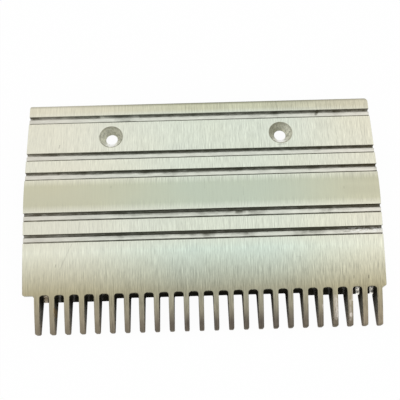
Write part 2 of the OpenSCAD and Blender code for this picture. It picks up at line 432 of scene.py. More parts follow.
def hole_rings(shape, x, y, stain_and_shade):
    """Surface of one countersunk hole, as rings from the deck down to the seat."""
    sink_d = SINK_R - BORE_R
    rim = [(SINK_R + RIM_OUTER, 0), (SINK_R + RIM_INNER, -RIM_DROP)]
    shares = steps(CONE_START, CONE_END, CONE_STEPS)
    cone = [(SINK_R - share * sink_d, -share * sink_d) for share in shares]
    bore = [(BORE_R, -sink_d - BORE_START), (BORE_R, -DECK_T + BORE_BEVEL)]
    profile = rim + cone + bore + [(BORE_R + BORE_BEVEL, -DECK_T)]
    rings = []
    for row, (radius, drop) in enumerate(profile):
        inside = 0 < row < len(profile) - 1
        ring = []
        for k in range(HOLE_SEGMENTS):
            turn = math.tau * k / HOLE_SEGMENTS
            place = (x + radius * math.cos(turn), y + radius * math.sin(turn), DECK_H + drop)
            # Painted shade on one side of the cone, and a painted glint at its front
            grime = sink_shade(stain_and_shade, turn) if inside else 0
            ring.append(shape.point(*place, grime, sink_glint(radius, turn)))
        rings.append(ring)
    shape.join_rings(rings, "sink")
    return rings


def make_mounting_deck():
    """Level deck with three grooves, two countersunk holes and the relief groove in its seat."""
    shape = Shape()
    outline = [Corner(REAR_Y, SEAT_Z, "side", grime=0.1, rear=True)] + rear_bevel()
    for index in DECK_GROOVES:
        outline += groove(index)
    relief_front, relief_rear = SHOULDER_HIGH.y, SHOULDER_HIGH.y + RELIEF_W
    outline += [
        surface(BEND_START, "cast"),
        Corner(at(BEND_START), SEAT_Z, "cast", grime=0.3),
        Corner(relief_front, SEAT_Z, "cast", grime=0.3),
        Corner(relief_front, SEAT_Z + RELIEF_D, "cast", grime=0.6),
        Corner(relief_rear, SEAT_Z + RELIEF_D, "cast", grime=0.6),
        Corner(relief_rear, SEAT_Z, "cast", grime=0.1),
    ]
    run_across(shape, outline, (CORNER_LEFT, CORNER_RIGHT), HOLE_X)
    shape.build("mounting_deck")


def make_bend_band():
    """Smooth band where the deck bends down towards the teeth."""
    shape = Shape()
    stations = steps(BEND_START, BEND_END, ARC_STEPS)
    upper = [surface(station) for station in stations[:-1]] + [surface(BEND_END, "cast")]
    run_across(shape, upper + [under(station) for station in stations[::-1]])
    shape.build("bend_band")


def make_front_deck():
    """Sloping deck with two grooves, and the rear part of the nose."""
    shape = Shape()
    nose = steps(NOSE_START, BEAM_S, ARC_STEPS)
    upper = [surface(BEND_END)]
    for index in FRONT_GROOVES:
        upper += groove(index)
    upper += [surface(station) for station in nose[:-1]] + [surface(BEAM_S, "cast")]
    run_across(shape, upper + [under(station) for station in nose[::-1]] + [under(BEND_END)])
    shape.build("front_deck")


# Comb: the cross beam and the teeth, built from upright posts along their outline

# Post of the outline, with the direction in which its wall faces
Post = namedtuple("Post", "x y turn")
# Rows of points down a wall below its edge, as shares of its height. The painted darkening grows
# with them, so that walls are darker towards the bottom
WALL_ROWS = (0.12, 0.45, 1)


def post_points(shape, post, low=None):
    """Points of one upright post: over the rounded edge, down the wall and on to the underside.

    The underside is the tooth's, unless low gives its height.
    """
    out_x, out_y = math.cos(post.turn), math.sin(post.turn)
    points = []
    for inset, drop in quarter_round(EDGE_R, EDGE_STEPS)[::-1]:
        x, y = post.x - out_x * inset, post.y - out_y * inset
        points.append(shape.point(x, y, tooth_top_z(REAR_Y - y) - drop))
    low = tooth_low_z(REAR_Y - post.y) if low is None else low
    high = tooth_top_z(REAR_Y - post.y) - EDGE_R
    for share in WALL_ROWS:
        points.append(shape.point(post.x, post.y, between(high, low + LIP_R, share), grime=share))
    points.append(shape.point(post.x - out_x * LIP_R, post.y - out_y * LIP_R, low, grime=0.5))
    return points


def join_posts(shape, rows, look):
    """Joins the points of upright posts, each post to the next."""
    for row_a, row_b in zip(rows, rows[1:]):
        shape.join(row_a, row_b, ["top"] * EDGE_STEPS + [look] * len(WALL_ROWS) + ["cast"])


def half_tooth():
    """Right half of a tooth from root to tip, as x from its middle, station and outward turn."""
    root_x, tip_x = TOOTH_ROOT_W / 2, TOOTH_TIP_W / 2
    flank_start, flank_end = ROOT_S + GAP_R, TIP_S - TIP_R
    fillet = []
    for turn in quarter_turn(FILLET_STEPS):
        x = root_x + GAP_R - GAP_R * math.sin(turn)
        station = ROOT_S + GAP_R * (1 - math.cos(turn))
        fillet.append((x, station, turn - math.pi / 2))
    flank = [
        (between(root_x, tip_x, share), between(flank_start, flank_end, share), 0)
        for share in steps(0, 1, FLANK_STEPS)
    ]
    tip = [
        (tip_x - TIP_R * (1 - math.cos(turn)), flank_end + TIP_R * math.sin(turn), -turn)
        for turn in quarter_turn(TIP_STEPS)
    ]
    return fillet + flank[1:] + tip[1:]


def tooth_x(number):
    """Place along X of a tooth's middle."""
    low, high = node_box(f"tooth_{number:02d}")
    return (low.x + high.x) / 2


def tooth_posts(number):
    """Left-hand and right-hand posts of a tooth, each from root to tip."""
    middle = tooth_x(number)
    left = [Post(middle - x, at(station), math.pi - turn) for x, station, turn in half_tooth()]
    right = [Post(middle + x, at(station), turn) for x, station, turn in half_tooth()]
    return left, right


def make_tooth(number):
    """One tooth. Its flanks are gap walls, but for the outermost two of the row."""
    shape = Shape()
    left, right = [[post_points(shape, post) for post in posts] for posts in tooth_posts(number)]
    join_posts(shape, left, "side" if number == 1 else "gap")
    join_posts(shape, right, "side" if number == TOOTH_COUNT else "gap")
    join_posts(shape, [left[-1], right[-1]], "gap")
    for k in range(len(left) - 1):
        posts = (left[k], left[k + 1], right[k + 1], right[k])
        shape.face([post[0] for post in posts], "top")
        shape.face([post[-1] for post in posts], "cast")
    shape.face(left[0] + right[0][::-1], "cast")
    shape.build(f"tooth_{number:02d}")


def beam_side(shape, side, x0, low):
    """Posts along one end of the cross beam and round its front corner, as rows of points."""
    turn = math.pi if side < 0 else 0
    stations = steps(BEAM_S, ROOT_S - FRONT_CORNER, BEAM_STEPS)
    posts = [Post(x0, at(station), turn) for station in stations]
    corner_y = posts[-1].y
    for bend in quarter_turn(FRONT_CORNER_STEPS)[1:]:
        x = x0 - side * FRONT_CORNER * (1 - math.cos(bend))
        posts.append(Post(x, corner_y - FRONT_CORNER * math.sin(bend), turn - side * bend))
    rows = [post_points(shape, post, low) for post in posts]
    join_posts(shape, rows, "side")
    return rows


def beam_front(shape):
    """Front wall of the cross beam: a post at both sides of each tooth, joined across the gaps."""
    front = []
    for number in range(1, TOOTH_COUNT + 1):
        near, far = [post_points(shape, posts[0]) for posts in tooth_posts(number)]
        if front:
            join_posts(shape, [front[-1], near], "gap")
        shape.face(near + far[::-1], "cast")
        front += [near, far]
    return front


def make_root_beam():
    """Cross beam: full depth behind the teeth, and only a lip over the bare margin on the left."""
    shape = Shape()
    lip_z = top_z(ROOT_S) - MARGIN_T
    left, right = beam_side(shape, -1, LEFT, lip_z), beam_side(shape, 1, RIGHT, 0)
    front = beam_front(shape)
    first = tooth_posts(1)[0][0]
    lip_end = post_points(shape, first, lip_z)
    join_posts(shape, [left[-1], lip_end], "side")
    join_posts(shape, [front[-1], right[-1]], "side")
    upper_step = shape.point(first.x, BEAM_Y, lip_z)
    lower_step = shape.point(first.x, BEAM_Y, 0)
    for k in range(BEAM_STEPS):
        shape.face([left[k][0], left[k + 1][0], right[k + 1][0], right[k][0]], "top")
    rim = left[BEAM_STEPS:] + front + right[BEAM_STEPS:][::-1]
    shape.face([row[0] for row in rim], "top")
    shape.face([row[-1] for row in left] + [lip_end[-1], upper_step], "cast")
    shape.face([lip_end[-1], front[0][-1], lower_step, upper_step], "cast")
    shape.face([lower_step] + [row[-1] for row in front + right[::-1]], "cast")
    shape.face(left[0] + [upper_step, lower_step] + right[0][::-1], "cast")
    for gap in range(1, TOOTH_COUNT):
        is_outer = min(gap, TOOTH_COUNT - gap) <= OUTER_GAPS
        add_web(shape, gap, OUTER_WEB_L if is_outer else INNER_WEB_L)
    shape.build("root_beam")


def add_web(shape, gap, reach):
    """Low web at the bottom of a gap. Its ends are sunk into the walls of the teeth."""
    front_y = ROOT_Y - reach
    rounding = [(front_y + inset, WEB_H - drop) for inset, drop in quarter_round(WEB_ROUNDING * reach)]
    outline = [(ROOT_Y, 0), (front_y, 0)] + rounding + [(ROOT_Y, WEB_H)]
    to_wall = TOOTH_ROOT_W / 2 - WEB_SUNK
    ends = (tooth_x(gap) + to_wall, tooth_x(gap + 1) - to_wall)
    shape.bar([[shape.point(x, y, z, grime=1) for y, z in outline] for x in ends], "gap")


# Underside: the locating shoulder and the ribs

def make_shoulder():
    """Step under the deck, with its two lower edges rounded."""
    shape = Shape()
    front_y, rear_y = SHOULDER_LOW.y, SHOULDER_HIGH.y
    low_z, high_z = SHOULDER_LOW.z, SHOULDER_HIGH.z
    rounding = quarter_round(SHOULDER_R)
    outline = [Corner(front_y, high_z, "cast")]
    outline += [Corner(front_y + inset, low_z + rise, "cast", grime=0.2) for inset, rise in rounding]
    outline += [Corner(rear_y - inset, low_z + rise, "cast", grime=0.2) for rise, inset in rounding]
    outline.append(Corner(rear_y, high_z, "cast"))
    run_across(shape, outline)
    shape.build("locating_shoulder")


def half_rib(top, bottom):
    """Right half of a rib's section, from its fillet under the deck down to its lower edge."""
    half, middle = RIB_T / 2, EDGE_R * ROUND_MIDDLE
    fillet = [(half + out, top - drop) for drop, out in quarter_round(FLARE_R)]
    return fillet + [(half, bottom + EDGE_R), (half - middle, bottom + middle), (half - EDGE_R, bottom)]


def make_rib(number):
    """An upright rib that starts at the shoulder and runs on to the cross beam."""
    shape = Shape()
    node = f"rib_{number:02d}"
    low, high = node_box(node)
    middle = (low.x + high.x) / 2
    start = REAR_Y - high.y
    stations = [start] + steps(start + RIB_HEEL, BEND_END, RIB_REAR_STEPS)
    stations += steps(BEND_END, BEAM_S, RIB_FRONT_STEPS)[1:]
    rings = []
    for station in stations:
        bottom = SHOULDER_LOW.z * max(0, 1 - (station - start) / RIB_HEEL)
        half = half_rib(top_z(station) - DECK_T, bottom)
        ring = [(middle + x, z) for x, z in half] + [(middle - x, z) for x, z in half[::-1]]
        rings.append([shape.point(x, at(station), z, grime=0.3) for x, z in ring])
    shape.bar(rings, "cast")
    shape.build(node)


# Node calls that the materials and the studio share

# Place on the casting, as a vector, as single numbers, and flat as X and station
Place = namedtuple("Place", "vector x y z station flat")


class Nodes:
    """Short calls that add linked nodes to a material or a world."""

    def __init__(self, owner):
        owner.use_nodes = True
        self.owner = owner
        self.tree = owner.node_tree
        self.tree.nodes.clear()

    def add(self, kind, inputs=None, **settings):
        """Adds a node. An input is a fixed value or a socket to link."""
        node = self.tree.nodes.new("ShaderNode" + kind)
        for name, value in settings.items():
            setattr(node, name, value)
        for key, value in (inputs or {}).items():
            if isinstance(value, bpy.types.NodeSocket):
                self.tree.links.new(value, node.inputs[key])
            else:
                node.inputs[key].default_value = value
        return node

    def math(self, operation, a, b=0.0, clamp=False):
        return self.add("Math", {0: a, 1: b}, operation=operation, use_clamp=clamp).outputs[0]

    def plus(self, total, *values):
        for value in values:
            total = self.math("ADD", total, value)
        return total

    def times(self, total, *values):
        for value in values:
            total = self.math("MULTIPLY", total, value)
        return total

    def minus(self, a, b):
        return self.math("SUBTRACT", a, b)

    def absolute(self, value):
        return self.math("ABSOLUTE", value)

    def limit(self, value):
        """The value, kept from 0 to 1."""
        return self.math("ADD", value, clamp=True)

    def fade(self, value, start, end, low=0.0, high=1.0):
        """Goes smoothly from low to high as value goes from start to end."""
        inputs = {"Value": value, "From Min": start, "From Max": end, "To Min": low, "To Max": high}
        return self.add("MapRange", inputs, interpolation_type="SMOOTHSTEP").outputs[0]

    def hump(self, value, middle, half_width):
        """A soft hump that is 1 where value is near middle and 0 from half_width away."""
        return self.fade(self.absolute(self.minus(value, middle)), half_width, half_width * 0.3)

    def vector(self, operation, a, b, output="Vector"):
        return self.add("VectorMath", {0: a, 1: b}, operation=operation).outputs[output]

    def scale(self, vector, amount):
        return self.add("VectorMath", {0: vector, "Scale": amount}, operation="SCALE").outputs[0]

    def place(self):
        """Place on the casting, in millimetres."""
        vector = self.scale(self.add("TexCoord").outputs["Object"], 1 / MM)
        x, y, z = self.add("SeparateXYZ", {0: vector}).outputs
        station = self.minus(REAR_Y, y)
        flat = self.add("CombineXYZ", {0: x, 1: station, 2: 0.0}).outputs[0]
        return Place(vector, x, y, z, station, flat)

    def painted(self, name):
        """Value painted on the points of the mesh."""
        return self.add("Attribute", attribute_name=name).outputs["Fac"]

    def noise(self, place, stretch, detail=2.0, roughness=0.5):
        """Noise about 0, with stretch as the number of its features per millimetre along X, Y and Z."""
        scaled = self.vector("MULTIPLY", place.vector, stretch)
        inputs = {"Vector": scaled, "Scale": 1.0, "Detail": detail, "Roughness": roughness}
        return self.minus(self.add("TexNoise", inputs).outputs["Fac"], 0.5)

    def line(self, place, mark):
        """A soft line on the upper face, from 1 along its middle to 0 at its edges."""
        run = Vector((mark.end[0] - mark.start[0], mark.end[1] - mark.start[1], 0))
        from_start = self.vector("SUBTRACT", place.flat, (*mark.start, 0))
        share = self.limit(self.vector("DOT_PRODUCT", from_start, run / run.length_squared, "Value"))
        away = self.vector("DISTANCE", from_start, self.scale(run, share), "Value")
        return self.fade(away, mark.width / 2, mark.width / 8)

    def mix(self, factor, a, b):
        """Mix of two colours. The sockets go by number, because several share a name."""
        return self.add("Mix", {0: factor, 6: a, 7: b}, data_type="RGBA").outputs[2]

    def tint(self, colour, amount):
        """A colour made lighter or darker by a factor."""
        return self.scale(colour[:3] if isinstance(colour, list) else colour, amount)

    def ramp(self, value, stops):
        """Colour that goes through stops, each a position from 0 to 1 and a colour."""
        node = self.add("ValToRGB", {"Fac": value})
        elements = node.color_ramp.elements
        while len(elements) < len(stops):
            elements.new(1.0)
        for element, (position, colour) in zip(elements, stops):
            element.position = position
            element.color = colour
        return node.outputs["Color"]

    def material(self, shader):
        """The material, with a shader as its surface."""
        self.add("OutputMaterial", {"Surface": shader})
        return self.owner

    def metal(self, colour, roughness, height, bump_depth, metallic=1.0, specular=0.5):
        """The material, as a metal whose bumps are bump_depth millimetres deep."""
        bump = self.add("Bump", {"Height": height, "Distance": bump_depth * MM}).outputs[0]
        inputs = {
            "Base Color": colour, "Roughness": roughness, "Metallic": metallic,
            "Specular IOR Level": specular, "Normal": bump,
        }
        return self.material(self.add("BsdfPrincipled", inputs).outputs[0])


def material_nodes(name):
    return Nodes(bpy.data.materials.new(name))


def srgb(red, green, blue):
    """A colour as a screen shows it, from 0 to 255, as linear light."""
    levels = [value / 255 for value in (red, green, blue)]
    return [v / 12.92 if v <= 0.04045 else ((v + 0.055) / 1.055) ** 2.4 for v in levels] + [1]


# Marks of use, and painted light and shade

# A line on the upper face: its ends as X and station, its width and its strength
Mark = namedtuple("Mark", "start end width strength")
# Changes of brightness
MARKS = (
    # Broad painted light and shade
    Mark((50, 0), (104, 0), 26, -0.09),
    Mark((-75, 2), (-30, 1.6), 3, -0.045),
    Mark((60, 4.4), (70, 4.2), 4, 0.08),
    Mark((86, 51), (104, 51.5), 12, -0.06),
    Mark((84, 60), (104, 60), 8, -0.04),
    Mark((-61, 118.5), (-36, 118.5), 9, -0.15),
    Mark((-95, 129.5), (-79, 129.5), 10, 0.12),
    Mark((-70, 130), (-30, 130), 12, 0.2),
    Mark((-12, 127), (12, 127), 8, 0.06),
    Mark((87, 117), (98, 117), 10, -0.15),
    Mark((91, 131.5), (99, 131.5), 14, 0.38),
    Mark((30, 135.5), (100, 135.5), 4, -0.2),
    # Scratches
    Mark((46.5, 30), (51, 29.7), 1.6, -0.2),
    Mark((1.8, 50.5), (1.6, 57), 0.7, -0.09),
    Mark((17.9, 50.5), (17.8, 53), 0.7, -0.09),
    Mark((24, 56.5), (24, 61.5), 0.7, -0.1),
    Mark((-70.6, 74.5), (-71.6, 79), 0.9, -0.1),
    Mark((-75.5, 87), (-82, 100.5), 0.9, -0.11),
    Mark((-30, 92.5), (-30.2, 98.5), 0.7, -0.09),
    Mark((-18, 96), (-18.2, 103), 0.7, -0.1),
    Mark((52.8, 97), (56.6, 97.6), 0.6, -0.08),
    Mark((68.3, 101), (67.8, 107.5), 0.7, -0.15),
    Mark((77.4, 92.5), (77.7, 99), 0.7, -0.11),
    Mark((87.1, 97), (86.8, 100), 0.7, 0.12),
    # Nicks
    Mark((-84, 26.8), (-84.4, 28.8), 0.8, -0.3),
    Mark((-52.8, 54), (-52.8, 55), 0.9, -0.14),
    Mark((82.7, 58), (82.7, 59), 0.9, -0.14),
    Mark((-84.4, 98), (-84.6, 99.2), 0.9, -0.3),
    Mark((57.6, 103.8), (57.6, 105.2), 0.9, -0.15),
    Mark((85, 108.6), (85, 109.6), 1.2, -0.25),
    Mark((93.5, 108.6), (93.5, 109.8), 1.1, -0.3),
)

# Spots in other colours: rust on the second tooth, and pale bright spots on teeth near the right end
Stain = namedtuple("Stain", "start end width strength colour")
RUST, PALE_SPOT = srgb(146, 118, 70), srgb(232, 224, 214)
STAINS = (
    Stain((-84.9, 122), (-84.6, 125.5), 2.6, 1, RUST),
    Stain((73.9, 119.5), (74.2, 131), 3, 0.5, PALE_SPOT),
    Stain((74.7, 121), (74.7, 130), 1.6, 0.6, PALE_SPOT),
    Stain((82.3, 122), (82.4, 132), 2, 0.35, PALE_SPOT),
    Stain((82.5, 129), (82.5, 130), 2.2, 1, PALE_SPOT),
    Stain((84.4, 115.5), (83.7, 121.5), 2, 0.8, PALE_SPOT),
    Stain((66.9, 124), (66.9, 125.6), 2, 0.4, PALE_SPOT),
)


def groove_mark(index, start, end, width, strength):
    """A mark in a groove, with its ends as X and distance from the groove's rear edge."""
    station = GROOVE_STATIONS[index]
    return Mark((start[0], station + start[1]), (end[0], station + end[1]), width, strength)


# Dirt that has spread on to the ledges of the grooves, and one stretch that is wiped clean
SPREADS = (
    groove_mark(3, (-45, 2.2), (22, 2.2), 3.4, 0.2),
    groove_mark(3, (20, 2.6), (24, 2.6), 3.6, 0.3),
    groove_mark(4, (-55, 2), (25, 2), 3.2, 0.15),
    groove_mark(2, (-15, 2), (20, 2), 3.2, 0.12),
    groove_mark(0, (-60, 1.2), (-38, 1.2), 4, -0.3),
    groove_mark(0, (72.2, 0.8), (71, 3), 2.4, 0.36),
    groove_mark(3, (62, 2.4), (104, 2.4), 3.4, 0.08),
    groove_mark(4, (62, 2.4), (104, 2.4), 3.4, 0.14),
)

# Bright chips and painted highlights in the dark of the last groove, which grow towards its right end
CHIPS_AND_HIGHLIGHTS_FROM, CHIPS_AND_HIGHLIGHTS_TO = 76, 90
CHIPS_AND_HIGHLIGHTS_STATION, CHIPS_AND_HIGHLIGHTS_HALF_WIDTH = GROOVE_STATIONS[4] + 2.2, 2.5
CHIPS_AND_HIGHLIGHTS_STRENGTH = 0.62
CHIP_AND_HIGHLIGHT = srgb(255, 255, 250)


def stained(nodes, place, colour, share=1.0):
    """A colour with the stains over it, broken up by noise."""
    broken = nodes.fade(nodes.noise(place, (1.3, 0.45, 0), 3, 0.7), -0.15, 0.1, 0.3, 1.0)
    for stain_and_shade in STAINS:
        spot = nodes.times(nodes.line(place, stain_and_shade), broken, stain_and_shade.strength * share)
        colour = nodes.mix(spot, colour, stain_and_shade.colour)
    return colour


# Brushed upper face

# Colours at the middle of the face, and warmer near its two ends. They hold painted reflections
# and shade by station, as where the teeth darken towards their tips
MIDDLE_COLOURS = {
    "edge": srgb(100, 101, 80), "rear": srgb(200, 202, 178), "land": srgb(216, 223, 210),
    "crest": srgb(210, 224, 213), "band": srgb(192, 202, 185), "root": srgb(165, 164, 143),
    "tooth": srgb(152, 147, 129), "tip": srgb(104, 97, 88),
}
END_COLOURS = {
    "edge": srgb(170, 167, 150), "rear": srgb(222, 218, 199), "land": srgb(226, 225, 210),
    "crest": srgb(230, 231, 215), "band": srgb(202, 201, 178), "root": srgb(182, 175, 146),
    "tooth": srgb(164, 155, 133), "tip": srgb(140, 131, 114),
}
# Stations at which the face has these colours
ZONES = (
    (0, "edge"), (2, "rear"), (4.5, "rear"), (8, "land"), (BEND_START - 2, "land"),
    (BEND_START + 3, "band"), (BEND_END - 3, "band"), (BEND_END + 1, "land"), (84, "land"),
    (NOSE_START, "crest"), (ROOT_S - 1, "root"), (ROOT_S + 9, "tooth"), (TIP_S - 4, "tip"),
)
# X of the middle, and distances from it over which the colours of the ends set in
MIDDLE_X, ENDS_FROM, ENDS_TO = 14, 12, 105
# Tint of the warmer patches, painted reflections that also grow towards the right, and how much of it
# shows
WARM_TINT, WARM_SHARE = (1.03, 0.99, 0.92), 0.4
# Painted shade with soiling, and bare metal, in the grooves, each warmer towards the two ends
GRIME_AND_SHADE, GRIME_AND_SHADE_END = srgb(74, 76, 61), srgb(80, 73, 50)
MILLED, MILLED_END = srgb(215, 218, 207), srgb(218, 215, 204)


def zone_ramp(nodes, place, colours):
    """Colours that run from zone to zone along the stations."""
    stops = [(station / TIP_S, colours[name]) for station, name in ZONES]
    return nodes.ramp(nodes.math("DIVIDE", place.station, TIP_S), stops)


def top_colour(nodes, place):
    """Colour of the clean face: painted reflections and shade by station, warmer at the ends and in
    soft patches.
    """
    middle, end = [zone_ramp(nodes, place, colours) for colours in (MIDDLE_COLOURS, END_COLOURS)]
    towards_ends = nodes.fade(nodes.absolute(nodes.minus(place.x, MIDDLE_X)), ENDS_FROM, ENDS_TO)
    colour = nodes.mix(towards_ends, middle, end)
    patches = nodes.fade(nodes.noise(place, (0.02, 0.03, 0)), -0.25, 0.25)
    warmth = nodes.plus(patches, nodes.fade(place.x, 40, RIGHT, 0, 0.75))
    warmer = nodes.vector("MULTIPLY", colour, WARM_TINT)
    return nodes.mix(nodes.times(warmth, WARM_SHARE), colour, warmer)


def brushing(nodes, place, fine):
    """Light and dark streaks, weaker on the bend and towards the left, stronger over the nose."""
    in_band = nodes.hump(place.station, (BEND_START + BEND_END) / 2, (BEND_END - BEND_START) / 2)
    by_station = nodes.fade(place.station, NOSE_START - 5, ROOT_S, 0.9, 1.5)
    by_station = nodes.minus(by_station, nodes.times(in_band, 0.7))
    by_side = nodes.fade(place.x, LEFT, 0, 0.6, 1.0)
    long = nodes.noise(place, (2.4, 0.035, 0), detail=1)
    scores = nodes.noise(place, (3.2, 0.07, 0), detail=0)
    bright_scores = nodes.fade(scores, 0.16, 0.34, 0, 0.1)
    dark_scores = nodes.fade(scores, -0.16, -0.34, 0, 0.16)
    streaks = nodes.plus(nodes.times(fine, 1.05), nodes.times(long, 0.44))
    streaks = nodes.plus(streaks, nodes.minus(bright_scores, dark_scores))
    return nodes.times(streaks, by_station, by_side)


def top_level(nodes, place, fine):
    """Brightness of the clean face: brushing, soft clouds, marks of use and broad painted light and
    shade.
    """
    clouds = nodes.noise(place, (0.05, 0.05, 0), detail=3)
    level = nodes.fade(place.x, LEFT, RIGHT, 1.014, 0.99)
    level = nodes.plus(level, brushing(nodes, place, fine), nodes.times(clouds, 0.06))
    for mark in MARKS:
        level = nodes.plus(level, nodes.times(nodes.line(place, mark), mark.strength))
    return level


def groove_metal(nodes, place, at_ends):
    """Bare machined metal in the grooves, worn unevenly, with painted highlights and painted light at
    the right end.
    """
    wear_and_highlights = nodes.noise(place, (0.11, 0.5, 0.5), detail=4, roughness=0.65)
    level = nodes.plus(nodes.fade(place.x, 50, RIGHT, 1.0, 1.08), nodes.times(wear_and_highlights, 0.6))
    return nodes.tint(nodes.mix(at_ends, MILLED, MILLED_END), level)


def groove_shade_and_dirt(nodes, place, milled):
    """How dark the grooves are, from 0 to 1: painted shade and soiling, with ragged edges and smudges.
    """
    uneven = nodes.noise(place, (0.2, 0.7, 0.7), detail=4, roughness=0.65)
    smudge = nodes.fade(nodes.noise(place, (0.05, 0.03, 0), detail=3), 0.02, 0.2)
    ragged = nodes.plus(nodes.painted("grime"), nodes.times(uneven, 0.75))
    ragged = nodes.plus(ragged, nodes.times(smudge, milled, 0.28))
    for spread in SPREADS:
        ragged = nodes.plus(ragged, nodes.times(nodes.line(place, spread), milled, spread.strength))
    # Painted light at the open left end of the grooves: less shade there
    at_left = nodes.fade(place.x, -40, LEFT)
    unshaded_below = nodes.plus(0.1, nodes.times(at_left, 0.4))
    strength = nodes.fade(at_left, 0.0, 1.0, 1.0, 0.88)
    return nodes.times(nodes.fade(ragged, unshaded_below, 1.0), strength)


def groove_chips_and_highlights(nodes, place):
    """How much bright metal and painted highlight the chipped spots show, from 0 to 1."""
    in_groove = nodes.hump(place.station, CHIPS_AND_HIGHLIGHTS_STATION, CHIPS_AND_HIGHLIGHTS_HALF_WIDTH)
    towards_end = nodes.fade(place.x, CHIPS_AND_HIGHLIGHTS_FROM, CHIPS_AND_HIGHLIGHTS_TO)
    ragged = nodes.fade(nodes.noise(place, (0.4, 0.7, 0), 3, 0.7), -0.06, 0.06)
    return nodes.times(in_groove, towards_end, ragged, CHIPS_AND_HIGHLIGHTS_STRENGTH)


def brushed_top():
    """Brushed upper face, with clean lands, a dull smooth bend, and painted shade and soiling in the
    grooves.
    """
    nodes = material_nodes("brushed_aluminium")
    place = nodes.place()
    fine = nodes.noise(place, (2.6, 0.15, 0), detail=2, roughness=0.7)
    at_ends = nodes.fade(nodes.absolute(place.x), 40, RIGHT)
    colour = nodes.tint(top_colour(nodes, place), top_level(nodes, place, fine))
    colour = stained(nodes, place, colour)
    milled = nodes.painted("milled")
    colour = nodes.mix(milled, colour, groove_metal(nodes, place, at_ends))
    shade_and_dirt = groove_shade_and_dirt(nodes, place, milled)
    colour = nodes.mix(shade_and_dirt, colour, nodes.mix(at_ends, GRIME_AND_SHADE, GRIME_AND_SHADE_END))
    chips_and_highlights = groove_chips_and_highlights(nodes, place)
    colour = nodes.mix(chips_and_highlights, colour, CHIP_AND_HIGHLIGHT)
    matt = nodes.math("MAXIMUM", shade_and_dirt, chips_and_highlights)
    roughness = nodes.plus(0.48, nodes.times(fine, 0.3), nodes.times(matt, 0.2))
    metallic = nodes.minus(1.0, nodes.times(matt, 0.8))
    return nodes.metal(colour, roughness, fine, 0.03, metallic)


# Other materials, with their colours

SIDE, CAST = srgb(190, 188, 173), srgb(150, 151, 145)
# Countersinks: their own colour, and the colour of the painted shade on one side
SINK, SINK_SHADED = srgb(222, 222, 204), srgb(142, 142, 122)
SINK_RIM, GLINT = srgb(116, 114, 94), srgb(254, 254, 252)
# Gap walls: painted shade, darkest at the roots and paler towards the tips
GAP_ROOT, GAP_MIDDLE, GAP_TIP = srgb(46, 44, 37), srgb(112, 110, 102), srgb(128, 119, 106)
GLEAM_PALE, GLEAM_WARM = srgb(255, 252, 244), srgb(255, 238, 208)


def milled_side():
    """Cut ends and rear face."""
    nodes = material_nodes("milled_side")
    place = nodes.place()
    cuts = nodes.noise(place, (0.9, 0.06, 0.9), detail=3)
    clouds = nodes.noise(place, (0.04, 0.04, 0.04), detail=2)
    uneven = nodes.plus(nodes.times(cuts, 0.3), nodes.times(clouds, 0.12))
    colour = nodes.tint(SIDE, nodes.plus(1.0, uneven))
    # Painted darkening where the painted value is high, as towards the bottom of the walls
    colour = nodes.mix(nodes.times(nodes.painted("grime"), 0.5), colour, GRIME_AND_SHADE)
    return nodes.metal(colour, 0.45, cuts, 0.05)


def cast_underside():
    """Sand-cast skin of the hidden side."""
    nodes = material_nodes("cast_aluminium")
    place = nodes.place()
    grain = nodes.noise(place, (0.9, 0.9, 0.9), detail=4, roughness=0.6)
    clouds = nodes.noise(place, (0.06, 0.06, 0.06), detail=3)
    uneven = nodes.plus(nodes.times(grain, 0.35), nodes.times(clouds, 0.3))
    return nodes.metal(nodes.tint(CAST, nodes.plus(1.0, uneven)), 0.62, grain, 0.25)


def hole_radius(nodes, place):
    """Distance from the axis of the nearer hole."""
    middle_x, half_gap = sum(HOLE_X) / 2, (HOLE_X[1] - HOLE_X[0]) / 2
    off_x = nodes.minus(nodes.absolute(nodes.minus(place.x, middle_x)), half_gap)
    off_y = nodes.minus(place.y, at(HOLE_STATION))
    return nodes.math("SQRT", nodes.plus(nodes.times(off_x, off_x), nodes.times(off_y, off_y)))


def turned_sink():
    """Countersink walls: cutter rings, mottled painted shade on one side, a dark rim, a painted glint.
    """
    nodes = material_nodes("turned_countersink")
    place = nodes.place()
    radius = hole_radius(nodes, place)
    rings = nodes.math("SINE", nodes.times(radius, 9.0))
    blotch = nodes.noise(place, (0.55, 0.55, 0.55), detail=4, roughness=0.7)
    speckle = nodes.noise(place, (1.3, 1.3, 1.3), detail=3, roughness=0.7)
    grime, bright = nodes.painted("grime"), nodes.painted("milled")
    uneven = nodes.times(nodes.plus(blotch, speckle), 1.8)
    # Painted shade on one side of each cone, mottled by noise
    stain_and_shade = nodes.limit(nodes.plus(grime, nodes.times(uneven, grime)))
    level = nodes.plus(1.0, nodes.plus(nodes.times(rings, 0.03), nodes.times(blotch, 2.6)))
    colour = nodes.mix(stain_and_shade, nodes.tint(SINK, level), nodes.tint(SINK_SHADED, level))
    near_rim = nodes.fade(radius, SINK_R - 1.2, SINK_R - 0.2, 0.0, 0.45)
    colour = nodes.mix(near_rim, colour, SINK_RIM)
    # Painted glint: the second painted value is bright at the front of each cone
    colour = nodes.mix(bright, colour, GLINT)
    metallic = nodes.times(nodes.minus(1.0, bright), 0.6)
    return nodes.metal(colour, 0.4, nodes.times(rings, 0.4), 0.04, metallic)


